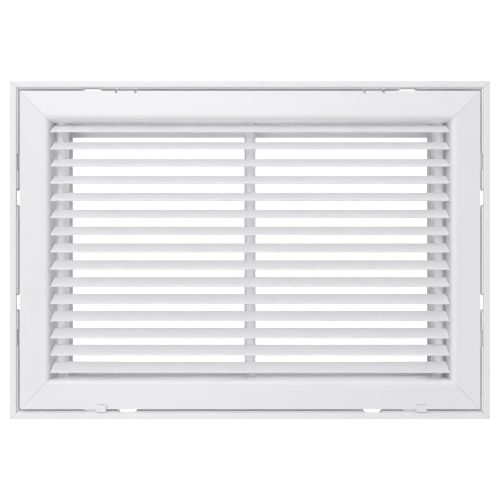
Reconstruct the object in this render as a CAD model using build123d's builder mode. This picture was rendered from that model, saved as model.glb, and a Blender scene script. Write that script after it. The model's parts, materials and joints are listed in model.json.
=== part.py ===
from build123d import *
import os
from math import cos, radians, sin, sqrt

# Return air grille: a flanged surround for a duct mouth, with a louvred door hung on two pins at
# the top and held shut by two sliding catches at the bottom.
# Sizes are in millimetres. X runs along the face, Y into the wall and Z up. The wall plane is Y = 0.

os.makedirs("parts", exist_ok=True)

# Surround
face_width = 524.0
face_height = 369.0
rim_width = 7.4
rim_height = 9.0
rim_radius = 1.2
shelf_width = 1.1
shelf_set_back = 2.4
wall = 1.4
leg_neck_gap = 2.0
neck_depth = 41.0
lip_width = 14.4
mitre_gap = 0.2

# Wall slots in two rows, each by its bite into the rim's inner wall and its distance from the rail's ends.
# The outer row goes right through that wall's foot, into the rim's open back.
slot_length = 20.0
slot_width = 6.2
slot_past_wall = 0.1
outer_slot_inset = 127.0
inner_slot_bite = 0.65
inner_slot_inset = 88.0

# Corner keys of the surround, held in the hollow of its rim
rim_key_leg = 34.0
rim_key_clearance = 0.2

# Door
door_gap = 3.2
flange_width = 32.2
edge_set_back = 0.8
crown_rise = 2.5
edge_radius = 0.6
roll_radius = 5.0
sight_wall_depth = 14.0
step_width = 2.0
leg_depth = 25.0

# Hardware groove behind the door's flange
groove_start = 7.6
groove_width = 11.8
groove_wall = 1.2
groove_lip = 2.5
groove_back = 5.0
foot_thickness = 2.0
foot_side_clearance = 0.4
foot_depth_clearance = 0.2
door_key_leg = 48.0

# Louvre blades
blade_pitch = 18.8
blade_angle = 42.0
blade_chord = 13.4
blade_sheet = 1.2
blade_nose_radius = 1.1
blade_front_depth = 1.5
blade_end_gap = 1.2
top_blade_gap = 2.5

# Mullion tubes behind the blades
tube_diameter = 12.7
tube_wall = 1.2
tube_side_inset = 8.2
blade_seat_depth = 1.15
blade_fit = 0.1
tube_end_fit = 0.05
plug_length = 12.0
plug_sides = 8
plug_fit = 0.05
tenon_width = 5.0
tenon_fit = 0.05

# Hinges
hinge_inset = 127.0
hinge_set_in = 2.8
knuckle_flange_gap = 0.2
pin_radius = 1.0
pin_fit = 0.05
pin_head_radius = 1.6
pin_head_length = 0.8
knuckle_radius = 2.0
knuckle_length = 18.4
knuckle_side_gap = 0.2
ear_thickness = 2.0
ear_radius = 1.9
ear_nib_rise = 0.2
ear_hook_fit = 0.1
ear_hook_rise = 1.4
ear_sweep_gap = 0.3
ear_notch_gap = 0.4
ear_notch_depth = 3.4
leaf_sheet = 1.2
bracket_sheet = 0.9
bracket_length = 42.0
bracket_width = 9.0

# Sliding catches
catch_travel = 8.0
catch_key_gap = 7.8
tab_key_gap = 11.6
tab_width = 11.0
tab_overlap = 5.5
tab_sheet = 1.6
tab_gap = 0.55
tab_corner_radius = 1.2
catch_neck = 1.5
catch_shelf_gap = 0.3
catch_foot_length = 26.0
arm_flange_gap = 0.5
arm_straight = 17.0
arm_slope = 12.0
nose_length = 8.0
nose_width = 4.0
nose_lead = 1.6
keeper_clear = 0.8
keeper_spare = 2.0
keeper_lip = 1.0
keeper_room = 0.6
keeper_foot = 7.6

# The four sides of a rectangular frame: the way inwards, and the way along the rail
sides = {
    "top": (Vector(0, 0, -1), Vector(1, 0, 0)),
    "bottom": (Vector(0, 0, 1), Vector(-1, 0, 0)),
    "left": (Vector(1, 0, 0), Vector(0, 0, 1)),
    "right": (Vector(-1, 0, 0), Vector(0, 0, -1)),
}
into_wall = Vector(0, 1, 0)
corners = {"top_left": (-1, 1), "top_right": (1, 1), "bottom_left": (-1, -1), "bottom_right": (1, -1)}
hands = {"left": -1, "right": 1}

# Depths along Y
rim_front = -rim_height
ledge_front = -wall
shelf_front = rim_front + shelf_set_back
edge_front = rim_front + edge_set_back
crown_front = edge_front - crown_rise - edge_set_back
sight_wall_back = rim_front + sight_wall_depth
leg_back = rim_front + leg_depth
groove_lip_back = rim_front + groove_back
groove_lip_front = groove_lip_back - groove_wall
foot_back = groove_lip_front - foot_depth_clearance
foot_front = foot_back - foot_thickness
hardware_front = groove_lip_back + foot_depth_clearance
hardware_back = hardware_front + leaf_sheet
hinge_y = edge_front + wall + knuckle_flange_gap + knuckle_radius

# Door sizes that follow from the surround
shelf_end = rim_width + shelf_width
door_inset = rim_width + door_gap
door_width = face_width - 2 * door_inset
door_height = face_height - 2 * door_inset
opening_width = door_width - 2 * flange_width
opening_height = door_height - 2 * flange_width
leg_inset = flange_width - step_width
neck_inset = door_inset + leg_inset - leg_neck_gap - 2 * wall
lip_inset = neck_inset + lip_width
hinge_reach = face_width / 2 - hinge_inset
key_reach = door_width / 2 - door_key_leg
catch_places = {
    "left": catch_key_gap + catch_travel + catch_foot_length - key_reach,
    "right": key_reach - tab_key_gap - tab_width / 2,
}

# Groove limits, in from the door's edge
groove_end = groove_start + groove_width
foot_start = groove_start + foot_side_clearance
foot_end = groove_end - foot_side_clearance
web_start = groove_start + groove_lip + foot_side_clearance
web_end = groove_end - groove_lip - foot_side_clearance


def side_length(side, width, height):
    """Outer length of one side of a rectangle."""
    return width if side in ("top", "bottom") else height


def side_origin(side, width, height):
    """Middle of one side's outer edge, on the wall plane."""
    reach = height if side in ("top", "bottom") else width
    return sides[side][0] * (-reach / 2)


def section_plane(side, width, height):
    """Plane across the middle of a rail: x runs inwards from the outer edge, y into the wall."""
    inward, along = sides[side]
    return Plane(origin=side_origin(side, width, height), x_dir=inward, z_dir=along)


def face_plane(side, width, height):
    """Wall plane seen along a rail: x runs along it, y inwards from its outer edge."""
    return Plane(origin=side_origin(side, width, height), x_dir=sides[side][1], z_dir=into_wall)


def mitre_ends(side, width, height):
    """Cut both ends of the rail being built at 45 degrees, half a joint gap short of the corner."""
    inward, along = sides[side]
    reach = side_length(side, width, height) / 2 - mitre_gap / sqrt(2)
    for end in (1, -1):
        corner = side_origin(side, width, height) + along * (end * reach)
        split(bisect_by=Plane(origin=corner, z_dir=-inward - along * end), keep=Keep.TOP)


def finish(builder, label):
    """Name a finished piece and write it."""
    builder.part.label = label
    export_step(builder.part, f"parts/{label}.step")


# Surround rails: hollow rim, shelf beside it, wall flange, neck and rear lip in one section
outer_slots = (outer_slot_inset, rim_width - wall - slot_past_wall + slot_width / 2)
inner_slots = (inner_slot_inset, rim_width - inner_slot_bite + slot_width / 2)
slot_rows = {
    "top": [inner_slots],
    "bottom": [outer_slots],
    "left": [outer_slots, inner_slots],
    "right": [outer_slots, inner_slots],
}

for side in sides:
    section = section_plane(side, face_width, face_height)
    wall_plane = face_plane(side, face_width, face_height)
    neck_inner = neck_inset + wall
    with BuildPart() as surround_rail:
        with BuildSketch(section) as profile:
            with BuildLine():
                Polyline(
                    (0, 0),
                    (0, rim_front),
                    (rim_width, rim_front),
                    (rim_width, shelf_front),
                    (shelf_end, shelf_front),
                    (shelf_end, ledge_front),
                    (neck_inner, ledge_front),
                    (neck_inner, neck_depth - wall),
                    (lip_inset, neck_depth - wall),
                    (lip_inset, neck_depth),
                    (neck_inset, neck_depth),
                    (neck_inset, 0),
                    (rim_width - wall, 0),
                    (rim_width - wall, rim_front + wall),
                    (wall, rim_front + wall),
                    (wall, 0),
                    close=True,
                )
            make_face()
            fillet(profile.vertices().group_by(Axis.Y)[0], radius=rim_radius)
        extrude(amount=side_length(side, face_width, face_height) / 2, both=True)
        mitre_ends(side, face_width, face_height)
        with BuildSketch(wall_plane):
            for inset, row in slot_rows[side]:
                reach = side_length(side, face_width, face_height) / 2 - inset
                with Locations((reach, row), (-reach, row)):
                    SlotOverall(slot_length, slot_width)
        extrude(amount=shelf_front, mode=Mode.SUBTRACT)
    finish(surround_rail, f"surround_{side}_rail")

# Surround corner keys, one bent bar in the hollow rim of each corner
key_outer = wall + rim_key_clearance
key_inner = rim_width - wall - rim_key_clearance
key_front = rim_front + wall + rim_key_clearance
for corner, (right, up) in corners.items():
    corner_x = right * face_width / 2
    corner_z = up * face_height / 2
    with BuildPart() as rim_key:
        with BuildSketch(Plane.XZ.offset(-ledge_front)):
            with BuildLine():
                Polyline(
                    (corner_x - right * key_outer, corner_z - up * key_outer),
                    (corner_x - right * rim_key_leg, corner_z - up * key_outer),
                    (corner_x - right * rim_key_leg, corner_z - up * key_inner),
                    (corner_x - right * key_inner, corner_z - up * key_inner),
                    (corner_x - right * key_inner, corner_z - up * rim_key_leg),
                    (corner_x - right * key_outer, corner_z - up * rim_key_leg),
                    close=True,
                )
            make_face()
        extrude(amount=ledge_front - key_front)
    finish(rim_key, f"surround_{corner}_key")


def flange_front(inset):
    """Depth of the door flange's front surface, at a distance in from the door's edge."""
    return edge_front + (crown_front - edge_front) * inset / flange_width


# Door rails: sloped flange with a rolled inner edge, stepped leg and hardware groove
tube_line = opening_width / 2 - tube_side_inset
tube_places = (-tube_line, 0, tube_line)
blade_rise = blade_chord * sin(radians(blade_angle))
blade_run = blade_chord * cos(radians(blade_angle))
nose_y = rim_front + blade_front_depth + blade_nose_radius
blade_back = nose_y + blade_run + blade_sheet / 2 * sin(radians(blade_angle))
tube_y = blade_back - blade_seat_depth + tube_diameter / 2
ear_inner = knuckle_length / 2 + knuckle_side_gap
ear_middle = ear_inner + ear_thickness / 2
rib_places = (groove_start - groove_wall, groove_end)
lip_places = (groove_start - groove_wall, groove_end - groove_lip)

for side in sides:
    section = section_plane(side, door_width, door_height)
    with BuildPart() as door_rail:
        with BuildSketch(section) as profile:
            with BuildLine():
                Polyline(
                    (0, edge_front),
                    (flange_width, crown_front),
                    (flange_width, sight_wall_back),
                    (leg_inset, sight_wall_back),
                    (leg_inset, leg_back),
                    (leg_inset - wall, leg_back),
                    (leg_inset - wall, sight_wall_back - wall),
                    (flange_width - wall, sight_wall_back - wall),
                    (flange_width - wall, crown_front + wall),
                    (0, edge_front + wall),
                    close=True,
                )
            make_face()
            fillet(profile.vertices().sort_by_distance((flange_width, crown_front))[0], radius=roll_radius)
            inner_roll = profile.vertices().sort_by_distance((flange_width - wall, crown_front + wall))[0]
            fillet(inner_roll, radius=roll_radius - wall)
            fillet(profile.vertices().group_by(Axis.X)[0], radius=edge_radius)
            for start in rib_places:
                root = flange_front(start) + wall / 2
                with Locations((start, root)):
                    Rectangle(groove_wall, groove_lip_back - root, align=(Align.MIN, Align.MIN))
            for start in lip_places:
                with Locations((start, groove_lip_front)):
                    Rectangle(groove_wall + groove_lip, groove_wall, align=(Align.MIN, Align.MIN))
        extrude(amount=side_length(side, door_width, door_height) / 2, both=True)
        mitre_ends(side, door_width, door_height)
        if side in ("top", "bottom"):
            up = -sides[side][0].Z
            with BuildSketch(Plane.XY.offset(up * (door_height / 2 - leg_inset))):
                with Locations(*[(x, tube_y) for x in tube_places]):
                    Rectangle(tenon_width + 2 * tenon_fit, tenon_width + 2 * tenon_fit)
            extrude(amount=up * wall, mode=Mode.SUBTRACT)
        if side == "top":
            notch_half = ear_thickness / 2 + ear_notch_gap
            with BuildSketch(face_plane(side, door_width, door_height).offset(crown_front)):
                for hand in hands.values():
                    for end in (-1, 1):
                        with Locations((hand * hinge_reach + end * ear_middle, 0)):
                            Rectangle(2 * notch_half, 2 * ear_notch_depth)
            extrude(amount=groove_lip_front - crown_front, mode=Mode.SUBTRACT)
    finish(door_rail, f"door_{side}_rail")

# Door corner keys, one flat angle in the groove of each corner
for corner, (right, up) in corners.items():
    corner_x = right * door_width / 2
    corner_z = up * door_height / 2
    with BuildPart() as door_key:
        with BuildSketch(Plane.XZ.offset(-foot_back)):
            with BuildLine():
                Polyline(
                    (corner_x - right * foot_start, corner_z - up * foot_start),
                    (corner_x - right * door_key_leg, corner_z - up * foot_start),
                    (corner_x - right * door_key_leg, corner_z - up * foot_end),
                    (corner_x - right * foot_end, corner_z - up * foot_end),
                    (corner_x - right * foot_end, corner_z - up * door_key_leg),
                    (corner_x - right * foot_start, corner_z - up * door_key_leg),
                    close=True,
                )
            make_face()
        extrude(amount=foot_thickness)
    finish(door_key, f"door_{corner}_key")

# Louvre blades: sloped strips with a rolled nose at the lower front edge
blade_length = opening_width - 2 * blade_end_gap
blade_height = blade_rise + blade_nose_radius + blade_sheet / 2 * cos(radians(blade_angle))
top_nose_z = opening_height / 2 - top_blade_gap - blade_height + blade_nose_radius
blade_count = int((opening_height - top_blade_gap - blade_height) / blade_pitch) + 1
nose_heights = [top_nose_z - blade_pitch * row for row in range(blade_count)]


def blade_plane(nose_z):
    """Plane across a blade at its nose's centre: x runs up the blade's slope, the normal along X."""
    slope = Vector(0, cos(radians(blade_angle)), sin(radians(blade_angle)))
    return Plane(origin=(0, nose_y, nose_z), x_dir=slope, z_dir=(1, 0, 0))


for row, nose_z in enumerate(nose_heights, start=1):
    with BuildPart() as blade:
        with BuildSketch(blade_plane(nose_z)):
            Circle(blade_nose_radius)
            Rectangle(blade_chord, blade_sheet, align=(Align.MIN, Align.CENTER))
        extrude(amount=blade_length / 2, both=True)
    finish(blade, f"blade_{row:02d}")

# Mullion tubes, saw-cut on the slope of the blades, and the plugs whose tenons pass through the legs
tube_half = opening_height / 2 + step_width - tube_end_fit
lap_height = opening_height / 2 - tube_end_fit
lap_back = sight_wall_back + tube_end_fit
tube_names = ("left", "middle", "right")
for tube_name, tube_x in zip(tube_names, tube_places):
    with BuildPart() as tube:
        with BuildSketch(Plane.XY):
            with Locations((tube_x, tube_y)):
                Circle(tube_diameter / 2)
                Circle(tube_diameter / 2 - tube_wall, mode=Mode.SUBTRACT)
        extrude(amount=tube_half, both=True)
        for nose_z in nose_heights:
            with BuildSketch(blade_plane(nose_z).offset(tube_x)):
                Rectangle(
                    blade_chord + blade_fit,
                    blade_sheet + 2 * blade_fit,
                    align=(Align.MIN, Align.CENTER),
                )
            extrude(amount=tube_diameter, both=True, mode=Mode.SUBTRACT)
        for end in (-1, 1):
            with BuildSketch(Plane.XY.offset(end * lap_height)):
                with Locations((tube_x, lap_back)):
                    Rectangle(tube_diameter, tube_diameter, align=(Align.CENTER, Align.MAX))
            extrude(amount=end * tube_half, mode=Mode.SUBTRACT)
    finish(tube, f"{tube_name}_mullion_tube")

end_places = [(x, end) for x in tube_places for end in (-1, 1)]
with BuildPart() as mullion_plugs:
    for x, end in end_places:
        with BuildSketch(Plane.XY.offset(end * tube_half)):
            with Locations((x, tube_y)):
                RegularPolygon(tube_diameter / 2 - tube_wall - plug_fit, plug_sides)
        extrude(amount=-end * plug_length)
        with BuildSketch(Plane.XY.offset(end * lap_height)):
            with Locations((x, lap_back)):
                Rectangle(tube_diameter, tube_diameter, align=(Align.CENTER, Align.MAX))
        extrude(amount=end * tube_half, mode=Mode.SUBTRACT)
        with BuildSketch(Plane.XY.offset(end * tube_half)):
            with Locations((x, tube_y)):
                Rectangle(tenon_width, tenon_width)
        extrude(amount=end * (wall + tube_end_fit))
finish(mullion_plugs, "mullion_plugs")

# Hinges: bracket with ears hooked over the shelf and a pin, rolled leaf in the door's groove
hinge_u = door_inset + hinge_set_in
bracket_start = hinge_u - ear_radius
bracket_front = ledge_front - bracket_sheet
nib_front = hinge_y - ear_nib_rise
hook_back = shelf_front - ear_hook_fit
hook_front = hook_back - ear_hook_rise
notch_past_pin = ear_notch_depth - hinge_set_in
notch_sweep = sqrt(notch_past_pin**2 + (hinge_y - flange_front(ear_notch_depth)) ** 2)
hook_end = hinge_u - notch_sweep - ear_sweep_gap
ear_blocks = (
    (hinge_u - ear_radius, hinge_u + ear_radius, hinge_y, ledge_front),
    (shelf_end + ear_hook_fit, hinge_u, nib_front, ledge_front),
    (shelf_end + ear_hook_fit, hook_end, hook_front, ledge_front),
    (rim_width + ear_hook_fit, hook_end, hook_front, hook_back),
)
for hand_name, hand in hands.items():
    section = section_plane("top", face_width, face_height).offset(hand * hinge_reach)
    with BuildPart() as bracket:
        with BuildSketch(section):
            with Locations((bracket_start, bracket_front)):
                Rectangle(bracket_width, bracket_sheet, align=(Align.MIN, Align.MIN))
        extrude(amount=bracket_length / 2, both=True)
        for end in (-1, 1):
            with BuildSketch(section.offset(end * ear_inner)):
                with Locations((hinge_u, hinge_y)):
                    Circle(ear_radius)
                for start, stop, front, back in ear_blocks:
                    with Locations((start, front)):
                        Rectangle(stop - start, back - front, align=(Align.MIN, Align.MIN))
            extrude(amount=end * ear_thickness)
        with BuildSketch(section):
            with Locations((hinge_u, hinge_y)):
                Circle(pin_radius + pin_fit)
        extrude(amount=bracket_length / 2, both=True, mode=Mode.SUBTRACT)
    finish(bracket, f"{hand_name}_hinge_bracket")

    pin_half = ear_inner + ear_thickness + pin_fit
    with BuildPart() as pin:
        with BuildSketch(section):
            with Locations((hinge_u, hinge_y)):
                Circle(pin_radius)
        extrude(amount=pin_half, both=True)
        with BuildSketch(section.offset(hand * pin_half)):
            with Locations((hinge_u, hinge_y)):
                Circle(pin_head_radius)
        extrude(amount=hand * pin_head_length)
    finish(pin, f"{hand_name}_hinge_pin")

    door_section = section_plane("top", door_width, door_height).offset(hand * hinge_reach)
    with BuildPart() as leaf:
        with BuildSketch(door_section):
            with Locations((hinge_set_in, hinge_y)):
                Circle(knuckle_radius)
            with Locations((hinge_set_in, hardware_back)):
                Rectangle(web_end - hinge_set_in, leaf_sheet, align=(Align.MIN, Align.MAX))
            with Locations((web_start, hardware_back)):
                Rectangle(web_end - web_start, hardware_back - foot_front, align=(Align.MIN, Align.MAX))
            with Locations((foot_start, foot_back)):
                Rectangle(foot_end - foot_start, foot_thickness, align=(Align.MIN, Align.MAX))
            with Locations((hinge_set_in, hinge_y)):
                Circle(pin_radius + pin_fit, mode=Mode.SUBTRACT)
        extrude(amount=knuckle_length / 2, both=True)
    finish(leaf, f"{hand_name}_hinge_leaf")

# Sliding catches: foot in the groove, arm in the door's edge gap and thumb tab in front
keeper_start = door_inset + (hinge_set_in - ear_radius) / 2
keeper_lip_end = door_inset + groove_start - groove_wall - keeper_room
keeper_end = keeper_start + wall + keeper_room + nose_width + keeper_foot
keeper_lip_back = hardware_front - keeper_room
keeper_lip_front = keeper_lip_back - keeper_lip
keeper_length = catch_travel + keeper_spare
catch_nose_end = arm_straight + arm_slope + nose_length
keeper_distance = catch_nose_end + keeper_clear + keeper_length / 2
nose_start = keeper_start + keeper_lip + keeper_room - door_inset
tab_back = flange_front(tab_overlap) - tab_gap
tab_front = tab_back - tab_sheet
arm_front = edge_front + wall + arm_flange_gap
arm_outer = shelf_end + catch_shelf_gap - door_inset
arm_inner = arm_outer + catch_neck
nose_end = nose_start + nose_width
half_tab = tab_width / 2
slope_end = arm_straight + arm_slope
door_face = face_plane("bottom", door_width, door_height)
for hand_name, tab_x in catch_places.items():

    def along(distance):
        """Place along the bottom rail, a distance left of the middle of this catch's tab."""
        return distance - tab_x

    with BuildPart() as catch:
        with BuildSketch(section_plane("bottom", door_width, door_height).offset(along(0))):
            with Locations((foot_start, foot_back)):
                Rectangle(foot_end - foot_start, foot_thickness, align=(Align.MIN, Align.MAX))
            with Locations((web_start, hardware_back)):
                Rectangle(web_end - web_start, hardware_back - foot_back, align=(Align.MIN, Align.MAX))
        extrude(amount=catch_foot_length)
        plate = [
            (along(-half_tab), web_end),
            (along(-half_tab), arm_outer),
            (along(arm_straight), arm_outer),
            (along(slope_end), nose_start),
            (along(catch_nose_end - nose_lead), nose_start),
            (along(catch_nose_end), nose_start + nose_lead),
            (along(catch_nose_end), nose_end),
            (along(catch_foot_length), nose_end),
            (along(catch_foot_length), web_end),
        ]
        arm = [
            (along(-half_tab), arm_outer),
            (along(arm_straight), arm_outer),
            (along(slope_end), nose_start),
            (along(slope_end), nose_start + catch_neck),
            (along(arm_straight), arm_inner),
            (along(-half_tab), arm_inner),
        ]
        neck = [
            (along(-half_tab), arm_outer),
            (along(half_tab), arm_outer),
            (along(half_tab), arm_inner),
            (along(-half_tab), arm_inner),
        ]
        tab = [
            (along(-half_tab), arm_outer),
            (along(half_tab), arm_outer),
            (along(half_tab), tab_overlap),
            (along(-half_tab), tab_overlap),
        ]
        layers = (
            (plate, hardware_front, hardware_back),
            (arm, arm_front, hardware_back),
            (neck, tab_front, hardware_back),
            (tab, tab_front, tab_back),
        )
        for outline, front, back in layers:
            with BuildSketch(door_face.offset(front)):
                with BuildLine():
                    Polyline(*outline, close=True)
                make_face()
            extrude(amount=back - front)
        tab_edges = catch.edges().filter_by(Axis.Y).filter_by_position(Axis.Y, tab_front, tab_back)
        fillet(tab_edges.group_by(Axis.Z)[-1], radius=tab_corner_radius)
    finish(catch, f"{hand_name}_catch")

    keeper_place = along(keeper_distance)
    with BuildPart() as keeper:
        with BuildSketch(section_plane("bottom", face_width, face_height).offset(keeper_place)):
            with BuildLine():
                Polyline(
                    (keeper_start, ledge_front),
                    (keeper_end, ledge_front),
                    (keeper_end, bracket_front),
                    (keeper_start + keeper_lip, bracket_front),
                    (keeper_start + keeper_lip, keeper_lip_back),
                    (keeper_lip_end, keeper_lip_back),
                    (keeper_lip_end, keeper_lip_front),
                    (keeper_start, keeper_lip_front),
                    close=True,
                )
            make_face()
        extrude(amount=keeper_length / 2, both=True)
    finish(keeper, f"{hand_name}_keeper")
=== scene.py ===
"""Looks of a return air grille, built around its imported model.

It gives the nodes their finishes, adds rolled blades, round tubes and small fasteners, and sets up the
studio and the camera.
"""
import json
import logging
import math
from dataclasses import dataclass
from enum import Enum

import bmesh
import bpy
import numpy as np
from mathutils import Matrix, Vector


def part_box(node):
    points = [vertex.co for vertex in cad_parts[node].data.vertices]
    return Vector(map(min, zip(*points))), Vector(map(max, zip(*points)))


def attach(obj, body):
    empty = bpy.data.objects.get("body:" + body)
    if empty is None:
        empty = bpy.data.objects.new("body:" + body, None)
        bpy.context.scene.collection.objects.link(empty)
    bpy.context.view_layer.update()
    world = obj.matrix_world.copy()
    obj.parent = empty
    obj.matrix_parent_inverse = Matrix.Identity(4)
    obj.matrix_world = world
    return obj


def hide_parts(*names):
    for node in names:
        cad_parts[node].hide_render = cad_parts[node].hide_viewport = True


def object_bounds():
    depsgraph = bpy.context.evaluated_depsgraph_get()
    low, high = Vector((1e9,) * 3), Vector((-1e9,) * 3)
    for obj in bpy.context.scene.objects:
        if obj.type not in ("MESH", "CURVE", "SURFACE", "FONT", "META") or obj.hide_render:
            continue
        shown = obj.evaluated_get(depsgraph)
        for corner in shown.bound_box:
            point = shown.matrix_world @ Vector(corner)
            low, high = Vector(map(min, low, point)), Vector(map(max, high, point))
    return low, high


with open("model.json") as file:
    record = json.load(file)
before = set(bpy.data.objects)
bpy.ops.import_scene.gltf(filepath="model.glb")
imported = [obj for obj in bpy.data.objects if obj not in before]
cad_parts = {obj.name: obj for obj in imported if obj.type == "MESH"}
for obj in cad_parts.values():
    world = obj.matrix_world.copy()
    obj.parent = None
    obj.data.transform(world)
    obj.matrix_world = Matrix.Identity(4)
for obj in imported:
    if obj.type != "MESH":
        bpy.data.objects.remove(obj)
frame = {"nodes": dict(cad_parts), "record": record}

LOG = logging.getLogger("grille")
CAD_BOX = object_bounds()
MM = 0.001


class Body(Enum):
    """The rigid bodies that the new pieces ride on."""

    SURROUND = "surround"
    DOOR = "door"


class Slot(Enum):
    """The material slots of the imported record."""

    FRAME = "frame_coat"
    BLADE = "blade_coat"
    TUBE = "tube_coat"
    NYLON = "white_nylon"
    PLUG = "grey_nylon"
    ZINC = "zinc_steel"


HANDS = ("left", "right")
TUBE_SIDES = ("left", "middle", "right")
CORNERS = {"top_left": (-1, 1), "top_right": (1, 1), "bottom_left": (-1, -1), "bottom_right": (1, -1)}
SPRAYED_HINGES = ("left_hinge_bracket", "left_hinge_leaf", "right_hinge_bracket", "right_hinge_leaf")
NOISE_LOW = 0.3
NOISE_HIGH = 0.7


# Mesh helpers


def grid_faces(rows: int, columns: int, wrap: bool) -> np.ndarray:
    """Quads between the neighbouring points of a grid that is stored row after row.

    Args:
        rows: Number of grid rows.
        columns: Number of points in a row.
        wrap: Whether each row closes on itself.

    Returns:
        An array of four point numbers for each quad.
    """
    last = columns if wrap else columns - 1
    row, column = np.meshgrid(np.arange(rows - 1), np.arange(last), indexing="ij")
    following = (column + 1) % columns
    here = row * columns
    above = here + columns
    quads = [here + column, here + following, above + following, above + column]
    return np.stack(quads, axis=-1).reshape(-1, 4)


def link_piece(mesh: bpy.types.Mesh, body: Body) -> bpy.types.Object:
    """Make an object of a finished mesh, with the mesh's name, that rides on a body.

    Args:
        mesh: The finished mesh.
        body: The body that carries the piece.

    Returns:
        The new object.
    """
    piece = bpy.data.objects.new(mesh.name, mesh)
    bpy.context.collection.objects.link(piece)
    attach(piece, body.value)
    LOG.info("piece %s: %d points on %s", piece.name, len(mesh.vertices), body.value)
    return piece


def add_piece(
    name: str, points: np.ndarray, faces: list[list[int]], body: Body, smooth: float
) -> bpy.types.Object:
    """Put a finished surface into the scene, riding on a body.

    Args:
        name: Name of the piece.
        points: Places of the points in metres, one row each.
        faces: Point numbers of each face, facing outwards.
        body: The body that carries the piece.
        smooth: Edges under this angle in degrees are shaded smooth.

    Returns:
        The new object.
    """
    mesh = bpy.data.meshes.new(name)
    mesh.from_pydata(points.tolist(), [], faces)
    mesh.validate()
    mesh.shade_smooth()
    mesh.set_sharp_from_angle(angle=math.radians(smooth))
    return link_piece(mesh, body)


def turned_points(profile: np.ndarray, steps: int) -> np.ndarray:
    """Surface of revolution about local z.

    The point at profile place i and turn angle a is (r_i cos a, r_i sin a, h_i), where the profile's rows
    are radius and height.

    Args:
        profile: Radius and height of each place, from the foot to the crown.
        steps: Number of points round the axis.

    Returns:
        The points, one ring after another.
    """
    turn = np.linspace(0.0, 2.0 * math.pi, steps, endpoint=False)
    radius = profile[:, :1]
    height = np.repeat(profile[:, 1:], steps, axis=1)
    return np.stack([radius * np.cos(turn), radius * np.sin(turn), height], axis=-1).reshape(-1, 3)


def turned_faces(rings: int, steps: int) -> list[list[int]]:
    """Quads between the rings of a turned surface, with its foot and its crown closed.

    Args:
        rings: Number of rings.
        steps: Number of points in a ring.

    Returns:
        Point numbers of each face.
    """
    faces = grid_faces(rings, steps, wrap=True).tolist()
    faces.append(list(range(steps))[::-1])
    faces.append(list(range((rings - 1) * steps, rings * steps)))
    return faces


def placed(points: np.ndarray, origin: np.ndarray, axis: np.ndarray) -> np.ndarray:
    """Turn local z to an axis and move to an origin.

    The point (x, y, z) goes to origin + x side + y up + z axis, where side, up and axis are square to
    each other and right-handed.

    Args:
        points: Local points.
        origin: Where the local origin goes.
        axis: Unit vector that local z follows, along X, Y or Z.

    Returns:
        The placed points.
    """
    side = np.roll(np.abs(axis), 1)
    up = np.cross(axis, side)
    return origin + points @ np.stack([side, up, axis])


# Finishes


def new_group(name: str, inputs: dict[str, float], outputs: dict[str, str]) -> bpy.types.NodeTree:
    """Start a shader node group with named sockets.

    Args:
        name: Name of the group.
        inputs: Default value of each float input, by name.
        outputs: Socket type of each output, by name.

    Returns:
        The group's node tree, with its input and output nodes.
    """
    group = bpy.data.node_groups.new(name, "ShaderNodeTree")
    for socket, value in inputs.items():
        made = group.interface.new_socket(socket, in_out="INPUT", socket_type="NodeSocketFloat")
        made.default_value = value
    for socket, kind in outputs.items():
        group.interface.new_socket(socket, in_out="OUTPUT", socket_type=kind)
    group.nodes.new("NodeGroupInput")
    group.nodes.new("NodeGroupOutput")
    return group


def noise_node(tree: bpy.types.NodeTree, detail: float, rough: float) -> bpy.types.Node:
    """Add a noise texture on Object coordinates, with its scale socket left free.

    Args:
        tree: The tree that gets the node.
        detail: Number of finer layers.
        rough: Share of each finer layer.

    Returns:
        The noise node.
    """
    place = tree.nodes.new("ShaderNodeTexCoord")
    noise = tree.nodes.new("ShaderNodeTexNoise")
    noise.inputs["Detail"].default_value = detail
    noise.inputs["Roughness"].default_value = rough
    tree.links.new(place.outputs["Object"], noise.inputs["Vector"])
    return noise


def range_node(
    tree: bpy.types.NodeTree, source: bpy.types.NodeSocket, low: float, high: float
) -> bpy.types.Node:
    """Spread the usual reach of a noise over low to high.

    Args:
        tree: The tree that gets the node.
        source: The noise.
        low: Value at the low end of the noise.
        high: Value at its high end.

    Returns:
        The Map Range node.
    """
    spread = tree.nodes.new("ShaderNodeMapRange")
    spread.inputs["From Min"].default_value = NOISE_LOW
    spread.inputs["From Max"].default_value = NOISE_HIGH
    spread.inputs["To Min"].default_value = low
    spread.inputs["To Max"].default_value = high
    tree.links.new(source, spread.inputs["Value"])
    return spread


def peel_group() -> bpy.types.NodeTree:
    """Skin of a sprayed or moulded surface: fine pits for bump, broad clouds for colour and gloss.

    Returns:
        The group, with Pit Scale and Cloud Scale in, and Height and Cloud out.
    """
    group = new_group(
        "skin_peel",
        {"Pit Scale": 900.0, "Cloud Scale": 30.0},
        {"Height": "NodeSocketFloat", "Cloud": "NodeSocketFloat"},
    )
    source = group.nodes["Group Input"]
    target = group.nodes["Group Output"]
    pits = noise_node(group, detail=3.0, rough=0.45)
    clouds = noise_node(group, detail=4.0, rough=0.6)
    group.links.new(source.outputs["Pit Scale"], pits.inputs["Scale"])
    group.links.new(source.outputs["Cloud Scale"], clouds.inputs["Scale"])
    group.links.new(pits.outputs["Fac"], target.inputs["Height"])
    group.links.new(clouds.outputs["Fac"], target.inputs["Cloud"])
    return group


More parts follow.
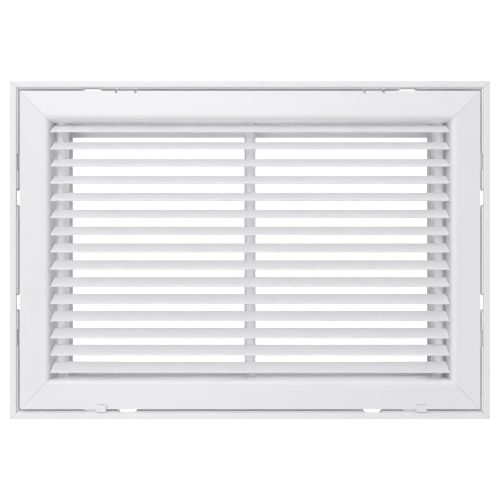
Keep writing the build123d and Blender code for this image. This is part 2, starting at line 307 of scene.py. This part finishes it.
@dataclass(frozen=True)
class Finish:
    """A sprayed, moulded or plated skin.

    Attributes:
        name: Name of the material.
        light: Colour where the skin is palest.
        dark: Colour where it is deepest.
        rough: Lowest and highest roughness.
        metal: Metallic share.
        pit_scale: Pits to the metre.
        cloud_scale: Clouds to the metre.
        bump: Strength of the pits.
        bump_depth: Depth of the pits in metres.
        specular: Specular level.
    """

    name: str
    light: tuple[float, float, float]
    dark: tuple[float, float, float]
    rough: tuple[float, float]
    metal: float = 0.0
    pit_scale: float = 900.0
    cloud_scale: float = 30.0
    bump: float = 0.15
    bump_depth: float = 0.00008
    specular: float = 0.5

    def material(self, peel: bpy.types.NodeTree) -> bpy.types.Material:
        """Build the material.

        Args:
            peel: The shared skin group.

        Returns:
            The new material.
        """
        material = bpy.data.materials.new(self.name)
        material.use_nodes = True
        tree = material.node_tree
        shader = tree.nodes["Principled BSDF"]
        skin = tree.nodes.new("ShaderNodeGroup")
        skin.node_tree = peel
        skin.inputs["Pit Scale"].default_value = self.pit_scale
        skin.inputs["Cloud Scale"].default_value = self.cloud_scale
        colour = tree.nodes.new("ShaderNodeMix")
        colour.data_type = "RGBA"
        colour.inputs["A"].default_value = (*self.dark, 1.0)
        colour.inputs["B"].default_value = (*self.light, 1.0)
        tone = range_node(tree, skin.outputs["Cloud"], 0.0, 1.0)
        gloss = range_node(tree, skin.outputs["Cloud"], *self.rough)
        bump = tree.nodes.new("ShaderNodeBump")
        bump.inputs["Strength"].default_value = self.bump
        bump.inputs["Distance"].default_value = self.bump_depth
        tree.links.new(tone.outputs["Result"], colour.inputs["Factor"])
        tree.links.new(colour.outputs["Result"], shader.inputs["Base Color"])
        tree.links.new(gloss.outputs["Result"], shader.inputs["Roughness"])
        tree.links.new(skin.outputs["Height"], bump.inputs["Height"])
        tree.links.new(bump.outputs["Normal"], shader.inputs["Normal"])
        shader.inputs["Metallic"].default_value = self.metal
        shader.inputs["Specular IOR Level"].default_value = self.specular
        return material


FINISHES = {
    Slot.FRAME: Finish("satin_frame_coat", (0.935, 0.932, 0.944), (0.92, 0.917, 0.93), (0.42, 0.5)),
    Slot.BLADE: Finish("satin_blade_coat", (0.935, 0.932, 0.944), (0.92, 0.917, 0.93), (0.4, 0.48)),
    Slot.TUBE: Finish("satin_tube_coat", (0.93, 0.927, 0.942), (0.915, 0.912, 0.928), (0.4, 0.48)),
    Slot.NYLON: Finish(
        "white_nylon", (0.91, 0.91, 0.905), (0.89, 0.89, 0.88), (0.4, 0.5), pit_scale=500.0, bump=0.08
    ),
    Slot.PLUG: Finish(
        "grey_nylon", (0.5, 0.51, 0.52), (0.44, 0.45, 0.46), (0.45, 0.55), pit_scale=500.0, bump=0.08
    ),
    Slot.ZINC: Finish(
        "zinc_steel", (0.78, 0.79, 0.8), (0.62, 0.64, 0.67), (0.28, 0.42),
        metal=1.0, cloud_scale=180.0, bump=0.06,
    ),
}


def dress_nodes(materials: dict[Slot, bpy.types.Material]) -> None:
    """Give every CAD node the finish of its slot, and the sprayed hinges the frame's coat.

    Args:
        materials: Material of each slot.
    """
    slots = {row["node"]: Slot(row["material_slot"]) for row in frame["record"]["subparts"]}
    slots.update(dict.fromkeys(SPRAYED_HINGES, Slot.FRAME))
    for name, node in frame["nodes"].items():
        material = materials[slots[name]]
        if not node.material_slots:
            node.data.materials.append(material)
        for place in node.material_slots:
            place.material = material
        LOG.info("node %s: %s", name, material.name)


# Sub-assemblies


@dataclass
class Blades:
    """Louvre blades: sloped strips with a rolled nose and an eased rear edge, in metres.

    Attributes:
        angle: Slope of the strip in radians.
        sheet: Thickness of the strip.
        nose_radius: Radius of the rolled nose.
        rear_radius: Radius of the rear corners.
        nose_steps: Points round the nose.
        rear_steps: Points round a rear corner.
        smooth: Edges under this angle in degrees are shaded smooth.
    """

    angle: float = math.radians(42.0)
    sheet: float = 1.2 * MM
    nose_radius: float = 1.1 * MM
    rear_radius: float = 0.35 * MM
    nose_steps: int = 20
    rear_steps: int = 4
    smooth: float = 40.0

    def section(self, chord: float) -> np.ndarray:
        """Outline of a blade along its slope s and across it t, anticlockwise from the nose's upper joint.

        The nose is an arc of the nose radius about the origin, between the two places where it meets the
        sheet. Each rear corner is a quarter arc of the rear radius.

        Args:
            chord: Length of the strip from the nose's centre to its rear edge.

        Returns:
            The outline's points as rows of s and t.
        """
        half = self.sheet / 2
        joint = math.asin(half / self.nose_radius)
        turn = np.linspace(joint, 2.0 * math.pi - joint, self.nose_steps)
        nose = self.nose_radius * np.stack([np.cos(turn), np.sin(turn)], axis=-1)
        quarter = np.linspace(0.0, math.pi / 2.0, self.rear_steps)
        corner = self.rear_radius * np.stack([np.cos(quarter), np.sin(quarter)], axis=-1)
        centre = np.array([chord - self.rear_radius, half - self.rear_radius])
        upper = centre + corner
        lower = upper[::-1] * np.array([1.0, -1.0])
        return np.concatenate([nose, lower, upper])

    def build(self, material: bpy.types.Material) -> None:
        """Carry the section along each blade's length, in place of its CAD node.

        Args:
            material: The blades' finish.
        """
        names = sorted(name for name in frame["nodes"] if name.startswith("blade_"))
        for name in names:
            low, high = (np.array(corner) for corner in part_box(name))
            nose_y = low[1] + self.nose_radius
            nose_z = low[2] + self.nose_radius
            reach = high[1] - nose_y - self.sheet / 2 * math.sin(self.angle)
            outline = self.section(reach / math.cos(self.angle))
            run = nose_y + outline[:, 0] * math.cos(self.angle) - outline[:, 1] * math.sin(self.angle)
            rise = nose_z + outline[:, 0] * math.sin(self.angle) + outline[:, 1] * math.cos(self.angle)
            ends = np.array([low[0], high[0]])
            count = len(outline)
            points = np.stack(
                [np.repeat(ends, count), np.tile(run, len(ends)), np.tile(rise, len(ends))], axis=-1
            )
            faces = grid_faces(len(ends), count, wrap=True).tolist()
            faces.append(list(range(count))[::-1])
            faces.append(list(range(count, 2 * count)))
            piece = add_piece(f"{name}_strip", points, faces, Body.DOOR, self.smooth)
            piece.data.materials.append(material)
            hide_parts(name)


@dataclass
class MullionTubes:
    """Saw-cut tubes behind the blades: welded copies of their nodes, shaded as true cylinders.

    Attributes:
        weld: Points closer than this in metres become one.
        round_limit: A face is part of the round where its normal and the radius agree better than this.
    """

    weld: float = 0.001 * MM
    round_limit: float = 0.95

    def round_normals(self, mesh: bpy.types.Mesh, middle: np.ndarray) -> np.ndarray:
        """Shading normal of each face corner.

        Where a face lies on the tube's wall or bore, the normal at a corner is the radius through that
        corner, turned to the face's own side. On cuts and ends it is the face's normal.

        Args:
            mesh: A welded tube.
            middle: X and Y of the tube's axis.

        Returns:
            One normal for each face corner.
        """
        places = np.empty(len(mesh.vertices) * 3)
        mesh.vertices.foreach_get("co", places)
        corners = np.empty(len(mesh.loops), dtype=int)
        mesh.loops.foreach_get("vertex_index", corners)
        flat = np.empty(len(mesh.polygons) * 3)
        mesh.polygons.foreach_get("normal", flat)
        sizes = np.empty(len(mesh.polygons), dtype=int)
        mesh.polygons.foreach_get("loop_total", sizes)
        facing = np.repeat(flat.reshape(-1, 3), sizes, axis=0)
        radius = places.reshape(-1, 3)[corners] - np.array([*middle, 0.0])
        radius[:, 2] = 0.0
        radius /= np.linalg.norm(radius, axis=1, keepdims=True)
        agreement = np.sum(radius * facing, axis=1, keepdims=True)
        return np.where(np.abs(agreement) > self.round_limit, np.sign(agreement) * radius, facing)

    def build(self, material: bpy.types.Material) -> None:
        """Weld, shade and dress each tube in place of its node.

        Args:
            material: The tubes' finish.
        """
        for label in TUBE_SIDES:
            name = f"{label}_mullion_tube"
            low, high = (np.array(corner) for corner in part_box(name))
            mesh = frame["nodes"][name].data.copy()
            mesh.name = f"{name}_round"
            welder = bmesh.new()
            welder.from_mesh(mesh)
            bmesh.ops.remove_doubles(welder, verts=welder.verts, dist=self.weld)
            welder.to_mesh(mesh)
            welder.free()
            mesh.shade_smooth()
            mesh.normals_split_custom_set(self.round_normals(mesh, (low[:2] + high[:2]) / 2).tolist())
            mesh.materials.clear()
            mesh.materials.append(material)
            piece = link_piece(mesh, Body.DOOR)
            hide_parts(name)


@dataclass
class DomedRivets:
    """Heads of the rivets that hold the hinge brackets and the keepers, in metres.

    Attributes:
        radius: Radius of a head.
        height: Height of its dome.
        sheet: Thickness of the brackets and keepers.
        bracket_reach: From the middle of a bracket to its rivets.
        bracket_line: From the foot of a bracket up to its rivets.
        keeper_line: From the top of a keeper down to its rivet.
        crown_stop: Angle in radians from the last ring to the pole, which a flat cap closes.
        steps: Points round a head.
        rings: Rings from its foot to its crown.
        smooth: Edges under this angle in degrees are shaded smooth.
    """

    radius: float = 2.2 * MM
    height: float = 0.9 * MM
    sheet: float = 0.9 * MM
    bracket_reach: float = 16.5 * MM
    bracket_line: float = 4.5 * MM
    keeper_line: float = 3.8 * MM
    crown_stop: float = 0.02
    steps: int = 24
    rings: int = 7
    smooth: float = 50.0

    def profile(self) -> np.ndarray:
        """Quarter ellipse from the foot nearly to the crown: r = R cos a, h = H sin a.

        Returns:
            Radius and height of each place.
        """
        turn = np.linspace(0.0, math.pi / 2.0 - self.crown_stop, self.rings)
        return np.stack([self.radius * np.cos(turn), self.height * np.sin(turn)], axis=-1)

    def places(self) -> dict[str, np.ndarray]:
        """Find where the rivets sit, on the front of each bracket's and keeper's sheet.

        Returns:
            The centre of each rivet's foot, by the rivet's name.
        """
        found = {}
        for hand in HANDS:
            low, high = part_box(f"{hand}_hinge_bracket")
            front = high[1] - self.sheet
            middle = (low[0] + high[0]) / 2
            for end, label in ((-1, "inner"), (1, "outer")):
                place = (middle + end * self.bracket_reach, front, low[2] + self.bracket_line)
                found[f"{hand}_bracket_{label}_rivet"] = np.array(place)
            low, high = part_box(f"{hand}_keeper")
            place = ((low[0] + high[0]) / 2, high[1] - self.sheet, high[2] - self.keeper_line)
            found[f"{hand}_keeper_rivet"] = np.array(place)
        return found

    def build(self, material: bpy.types.Material) -> None:
        """Turn each head on its place.

        Args:
            material: The rivets' finish.
        """
        head = turned_points(self.profile(), self.steps)
        faces = turned_faces(self.rings, self.steps)
        for name, foot in self.places().items():
            points = placed(head, foot, np.array([0.0, -1.0, 0.0]))
            piece = add_piece(name, points, faces, Body.SURROUND, self.smooth)
            piece.data.materials.append(material)


@dataclass
class StakedTenons:
    """Heads melted onto the plugs' tenons, outside the door's legs, in metres.

    Attributes:
        radius: Radius of a head.
        height: Height of its crown.
        rim: Height of its upright rim.
        eye: Share of the radius that a flat cap closes.
        steps: Points round a head.
        rings: Rings from its rim to its eye.
        smooth: Edges under this angle in degrees are shaded smooth.
    """

    radius: float = 3.8 * MM
    height: float = 0.6 * MM
    rim: float = 0.25 * MM
    eye: float = 0.05
    steps: int = 32
    rings: int = 8
    smooth: float = 35.0

    def profile(self) -> np.ndarray:
        """Outline of a low crown.

        It is an upright rim, then h = rim + (H - rim) (1 - (r / R)^2) in to a small eye in the middle.

        Returns:
            Radius and height of each place, from the foot to the eye.
        """
        radius = np.linspace(self.radius, self.eye * self.radius, self.rings)
        crown = self.rim + (self.height - self.rim) * (1.0 - (radius / self.radius) ** 2)
        foot = np.array([[self.radius, 0.0]])
        return np.concatenate([foot, np.stack([radius, crown], axis=-1)])

    def build(self, material: bpy.types.Material) -> None:
        """Put a head on both ends of each tube's line.

        Args:
            material: The plugs' finish.
        """
        profile = self.profile()
        head = turned_points(profile, self.steps)
        faces = turned_faces(len(profile), self.steps)
        low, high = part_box("mullion_plugs")
        for label in TUBE_SIDES:
            tube_low, tube_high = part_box(f"{label}_mullion_tube")
            across = (tube_low[0] + tube_high[0]) / 2
            depth = (tube_low[1] + tube_high[1]) / 2
            for end, height, way in (("upper", high[2], 1.0), ("lower", low[2], -1.0)):
                points = placed(head, np.array([across, depth, height]), np.array([0.0, 0.0, way]))
                name = f"{label}_{end}_tenon_head"
                piece = add_piece(name, points, faces, Body.DOOR, self.smooth)
                piece.data.materials.append(material)


@dataclass
class KeySetScrews:
    """Socket set screws that lock the door's corner keys in their groove, in metres.

    Attributes:
        radius: Radius of a screw.
        socket_radius: Corner radius of its hexagon socket.
        socket_depth: Depth of the socket.
        length: How far the screw stands out of its key.
        edge: Width of its broken edge.
        eye: Share of the socket's floor that a flat cap closes.
        corner_inset: From the door's corner along the groove to a screw.
        groove_line: From the door's edge to the middle of the groove.
        steps: Points round a screw.
        smooth: Edges under this angle in degrees are shaded smooth.
    """

    radius: float = 1.6 * MM
    socket_radius: float = 0.85 * MM
    socket_depth: float = 0.9 * MM
    length: float = 1.3 * MM
    edge: float = 0.2 * MM
    eye: float = 0.05
    corner_inset: float = 32.0 * MM
    groove_line: float = 13.5 * MM
    steps: int = 36
    smooth: float = 30.0

    def points(self) -> np.ndarray:
        """Turned body with a hexagon socket.

        The rings run up the outside, over a broken edge and down the socket. A socket ring's radius at
        turn a is S cos(30) / cos(a mod 60 - 30), which is a hexagon of corner radius S.

        Returns:
            The points, one ring after another.
        """
        turn = np.linspace(0.0, 2.0 * math.pi, self.steps, endpoint=False)
        sixth = math.pi / 3.0
        hexagon = self.socket_radius * math.cos(sixth / 2.0) / np.cos(turn % sixth - sixth / 2.0)
        round_ring = np.full(self.steps, self.radius)
        floor = self.length - self.socket_depth
        rings = (
            (round_ring, 0.0),
            (round_ring, self.length - self.edge),
            (round_ring - self.edge, self.length),
            (hexagon, self.length),
            (hexagon, floor),
            (self.eye * hexagon, floor),
        )
        radius = np.stack([ring for ring, _ in rings])
        height = np.stack([np.full(self.steps, level) for _, level in rings])
        return np.stack([radius * np.cos(turn), radius * np.sin(turn), height], axis=-1).reshape(-1, 3)

    def build(self, material: bpy.types.Material) -> None:
        """Put a screw in both legs of each corner key.

        Args:
            material: The screws' finish.
        """
        local = self.points()
        faces = turned_faces(len(local) // self.steps, self.steps)
        reach_x = -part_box("door_left_rail")[0][0]
        reach_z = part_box("door_top_rail")[1][2]
        for corner, (right, up) in CORNERS.items():
            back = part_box(f"door_{corner}_key")[1][1]
            legs = {
                "flat": (reach_x - self.corner_inset, reach_z - self.groove_line),
                "upright": (reach_x - self.groove_line, reach_z - self.corner_inset),
            }
            for leg, (across, rise) in legs.items():
                origin = np.array([right * across, back, up * rise])
                points = placed(local, origin, np.array([0.0, 1.0, 0.0]))
                name = f"{corner}_{leg}_set_screw"
                piece = add_piece(name, points, faces, Body.DOOR, self.smooth)
                piece.data.materials.append(material)


# Studio


@dataclass(frozen=True)
class SoftLight:
    """A soft round light that points at the middle of the face.

    Attributes:
        name: Name of the light.
        azimuth: Degrees round from the camera's side, towards the picture's right.
        elevation: Degrees above the middle of the face.
        power: Its power in watts.
    """

    name: str
    azimuth: float
    elevation: float
    power: float


SOFT_LIGHTS = (
    SoftLight("front_above", -14.0, 35.0, 22.2),
    SoftLight("front_below", -14.0, -35.0, 17.2),
    SoftLight("right_side", 70.0, -15.0, 5.0),
    SoftLight("upper_left", -70.0, 65.0, 8.6),
    SoftLight("upper_right", 70.0, 65.0, 5.8),
    SoftLight("behind", 180.0, 0.0, 12.7),
    SoftLight("behind_right", 140.0, 20.0, 12.2),
)


@dataclass(frozen=True)
class Studio:
    """Pale floor that sweeps up into a round tent, soft lights and the camera, in metres.

    Attributes:
        camera_distance: From the wall plane to the camera.
        lens: Focal length in millimetres.
        sensor: Width of the sensor in millimetres.
        floor_drop: From the foot of the object to the floor.
        tent_radius: Radius of the tent's wall.
        tent_height: From the top of the sweep to the top of the tent.
        sweep_radius: Radius of the sweep between floor and wall.
        hub: Radius of the flat caps on the axis.
        sweep_steps: Rings over the sweep, and over the roof.
        round_steps: Points round the tent.
        paper_colour: Colour of the tent's paper.
        paper_rough: Roughness of the paper.
        glow_colour: Colour of the paper's glow.
        tent_glow: Strength of the glow.
        world_colour: Colour of the even light.
        world_light: Strength of the even light.
        light_distance: From the frame's origin to a soft light.
        light_size: Width of a soft light.
        light_colour: Colour of the soft lights.
    """

    camera_distance: float = 0.513
    lens: float = 33.34
    sensor: float = 36.0
    floor_drop: float = 0.45
    tent_radius: float = 5.0
    tent_height: float = 4.0
    sweep_radius: float = 0.8
    hub: float = 0.01
    sweep_steps: int = 24
    round_steps: int = 96
    paper_colour: tuple[float, float, float, float] = (0.9, 0.9, 0.9, 1.0)
    paper_rough: float = 0.9
    glow_colour: tuple[float, float, float, float] = (1.0, 1.0, 1.0, 1.0)
    tent_glow: float = 1.0
    world_colour: tuple[float, float, float, float] = (0.975, 0.965, 1.0, 1.0)
    world_light: float = 0.24
    light_distance: float = 2.2
    light_size: float = 1.6
    light_colour: tuple[float, float, float] = (0.99, 0.988, 1.0)

    def tent(self) -> None:
        """Floor and tent as one surface turned about the upright axis.

        Its section is a flat floor, a quarter circle of the sweep radius up to the wall, and a quarter
        ellipse from there in to the axis.
        """
        floor = CAD_BOX[0][2] - self.floor_drop
        turn = np.linspace(0.0, math.pi / 2.0, self.sweep_steps)
        radius = np.concatenate([
            [self.hub],
            self.tent_radius - self.sweep_radius * (1.0 - np.sin(turn)),
            np.maximum(self.tent_radius * np.cos(turn[1:]), self.hub),
        ])
        height = floor + np.concatenate([
            [0.0],
            self.sweep_radius * (1.0 - np.cos(turn)),
            self.sweep_radius + self.tent_height * np.sin(turn[1:]),
        ])
        points = turned_points(np.stack([radius, height], axis=-1), self.round_steps)
        mesh = bpy.data.meshes.new("tent")
        mesh.from_pydata(points.tolist(), [], turned_faces(len(radius), self.round_steps))
        mesh.shade_smooth()
        sheet = bpy.data.objects.new("tent", mesh)
        bpy.context.collection.objects.link(sheet)
        material = bpy.data.materials.new("tent_paper")
        material.use_nodes = True
        shader = material.node_tree.nodes["Principled BSDF"]
        shader.inputs["Base Color"].default_value = self.paper_colour
        shader.inputs["Roughness"].default_value = self.paper_rough
        shader.inputs["Emission Color"].default_value = self.glow_colour
        shader.inputs["Emission Strength"].default_value = self.tent_glow
        mesh.materials.append(material)
        sheet.visible_diffuse = False
        sheet.visible_glossy = False
        sheet.visible_shadow = False

    def light(self, soft: SoftLight) -> None:
        """Hang a soft light and turn it to the middle of the face.

        Args:
            soft: The light's place and power.
        """
        data = bpy.data.lights.new(soft.name, "AREA")
        data.shape = "DISK"
        data.size = self.light_size
        data.energy = soft.power
        data.color = self.light_colour
        lamp = bpy.data.objects.new(soft.name, data)
        turn = math.radians(soft.azimuth)
        lift = math.radians(soft.elevation)
        towards = Vector((
            -math.sin(turn) * math.cos(lift),
            math.cos(turn) * math.cos(lift),
            -math.sin(lift),
        ))
        lamp.location = -self.light_distance * towards
        lamp.rotation_euler = towards.to_track_quat("-Z", "Y").to_euler()
        bpy.context.collection.objects.link(lamp)

    def lights(self) -> None:
        """Set an even world light and the soft lights in front, at the sides and behind."""
        world = bpy.data.worlds.new("studio")
        world.use_nodes = True
        ground = world.node_tree.nodes["Background"]
        ground.inputs["Color"].default_value = self.world_colour
        ground.inputs["Strength"].default_value = self.world_light
        bpy.context.scene.world = world
        for soft in SOFT_LIGHTS:
            self.light(soft)

    def camera(self) -> None:
        """Camera square to the face, at the height of its middle."""
        data = bpy.data.cameras.new("camera")
        data.lens = self.lens
        data.sensor_width = self.sensor
        viewer = bpy.data.objects.new("camera", data)
        viewer.location = (0.0, -self.camera_distance, 0.0)
        viewer.rotation_euler = (math.pi / 2.0, 0.0, 0.0)
        bpy.context.collection.objects.link(viewer)
        bpy.context.scene.camera = viewer

    def build(self) -> None:
        """Set the floor, the lights, the camera and plain colour handling."""
        self.tent()
        self.lights()
        self.camera()
        bpy.context.scene.view_settings.view_transform = "Standard"


def main() -> None:
    """Dress the nodes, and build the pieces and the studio."""
    logging.basicConfig(level=logging.INFO, format="%(name)s: %(message)s")
    peel = peel_group()
    materials = {slot: finish.material(peel) for slot, finish in FINISHES.items()}
    dress_nodes(materials)
    Blades().build(materials[Slot.BLADE])
    MullionTubes().build(materials[Slot.TUBE])
    DomedRivets().build(materials[Slot.ZINC])
    StakedTenons().build(materials[Slot.PLUG])
    KeySetScrews().build(materials[Slot.ZINC])
    Studio().build()


if __name__ == "__main__":
    main()
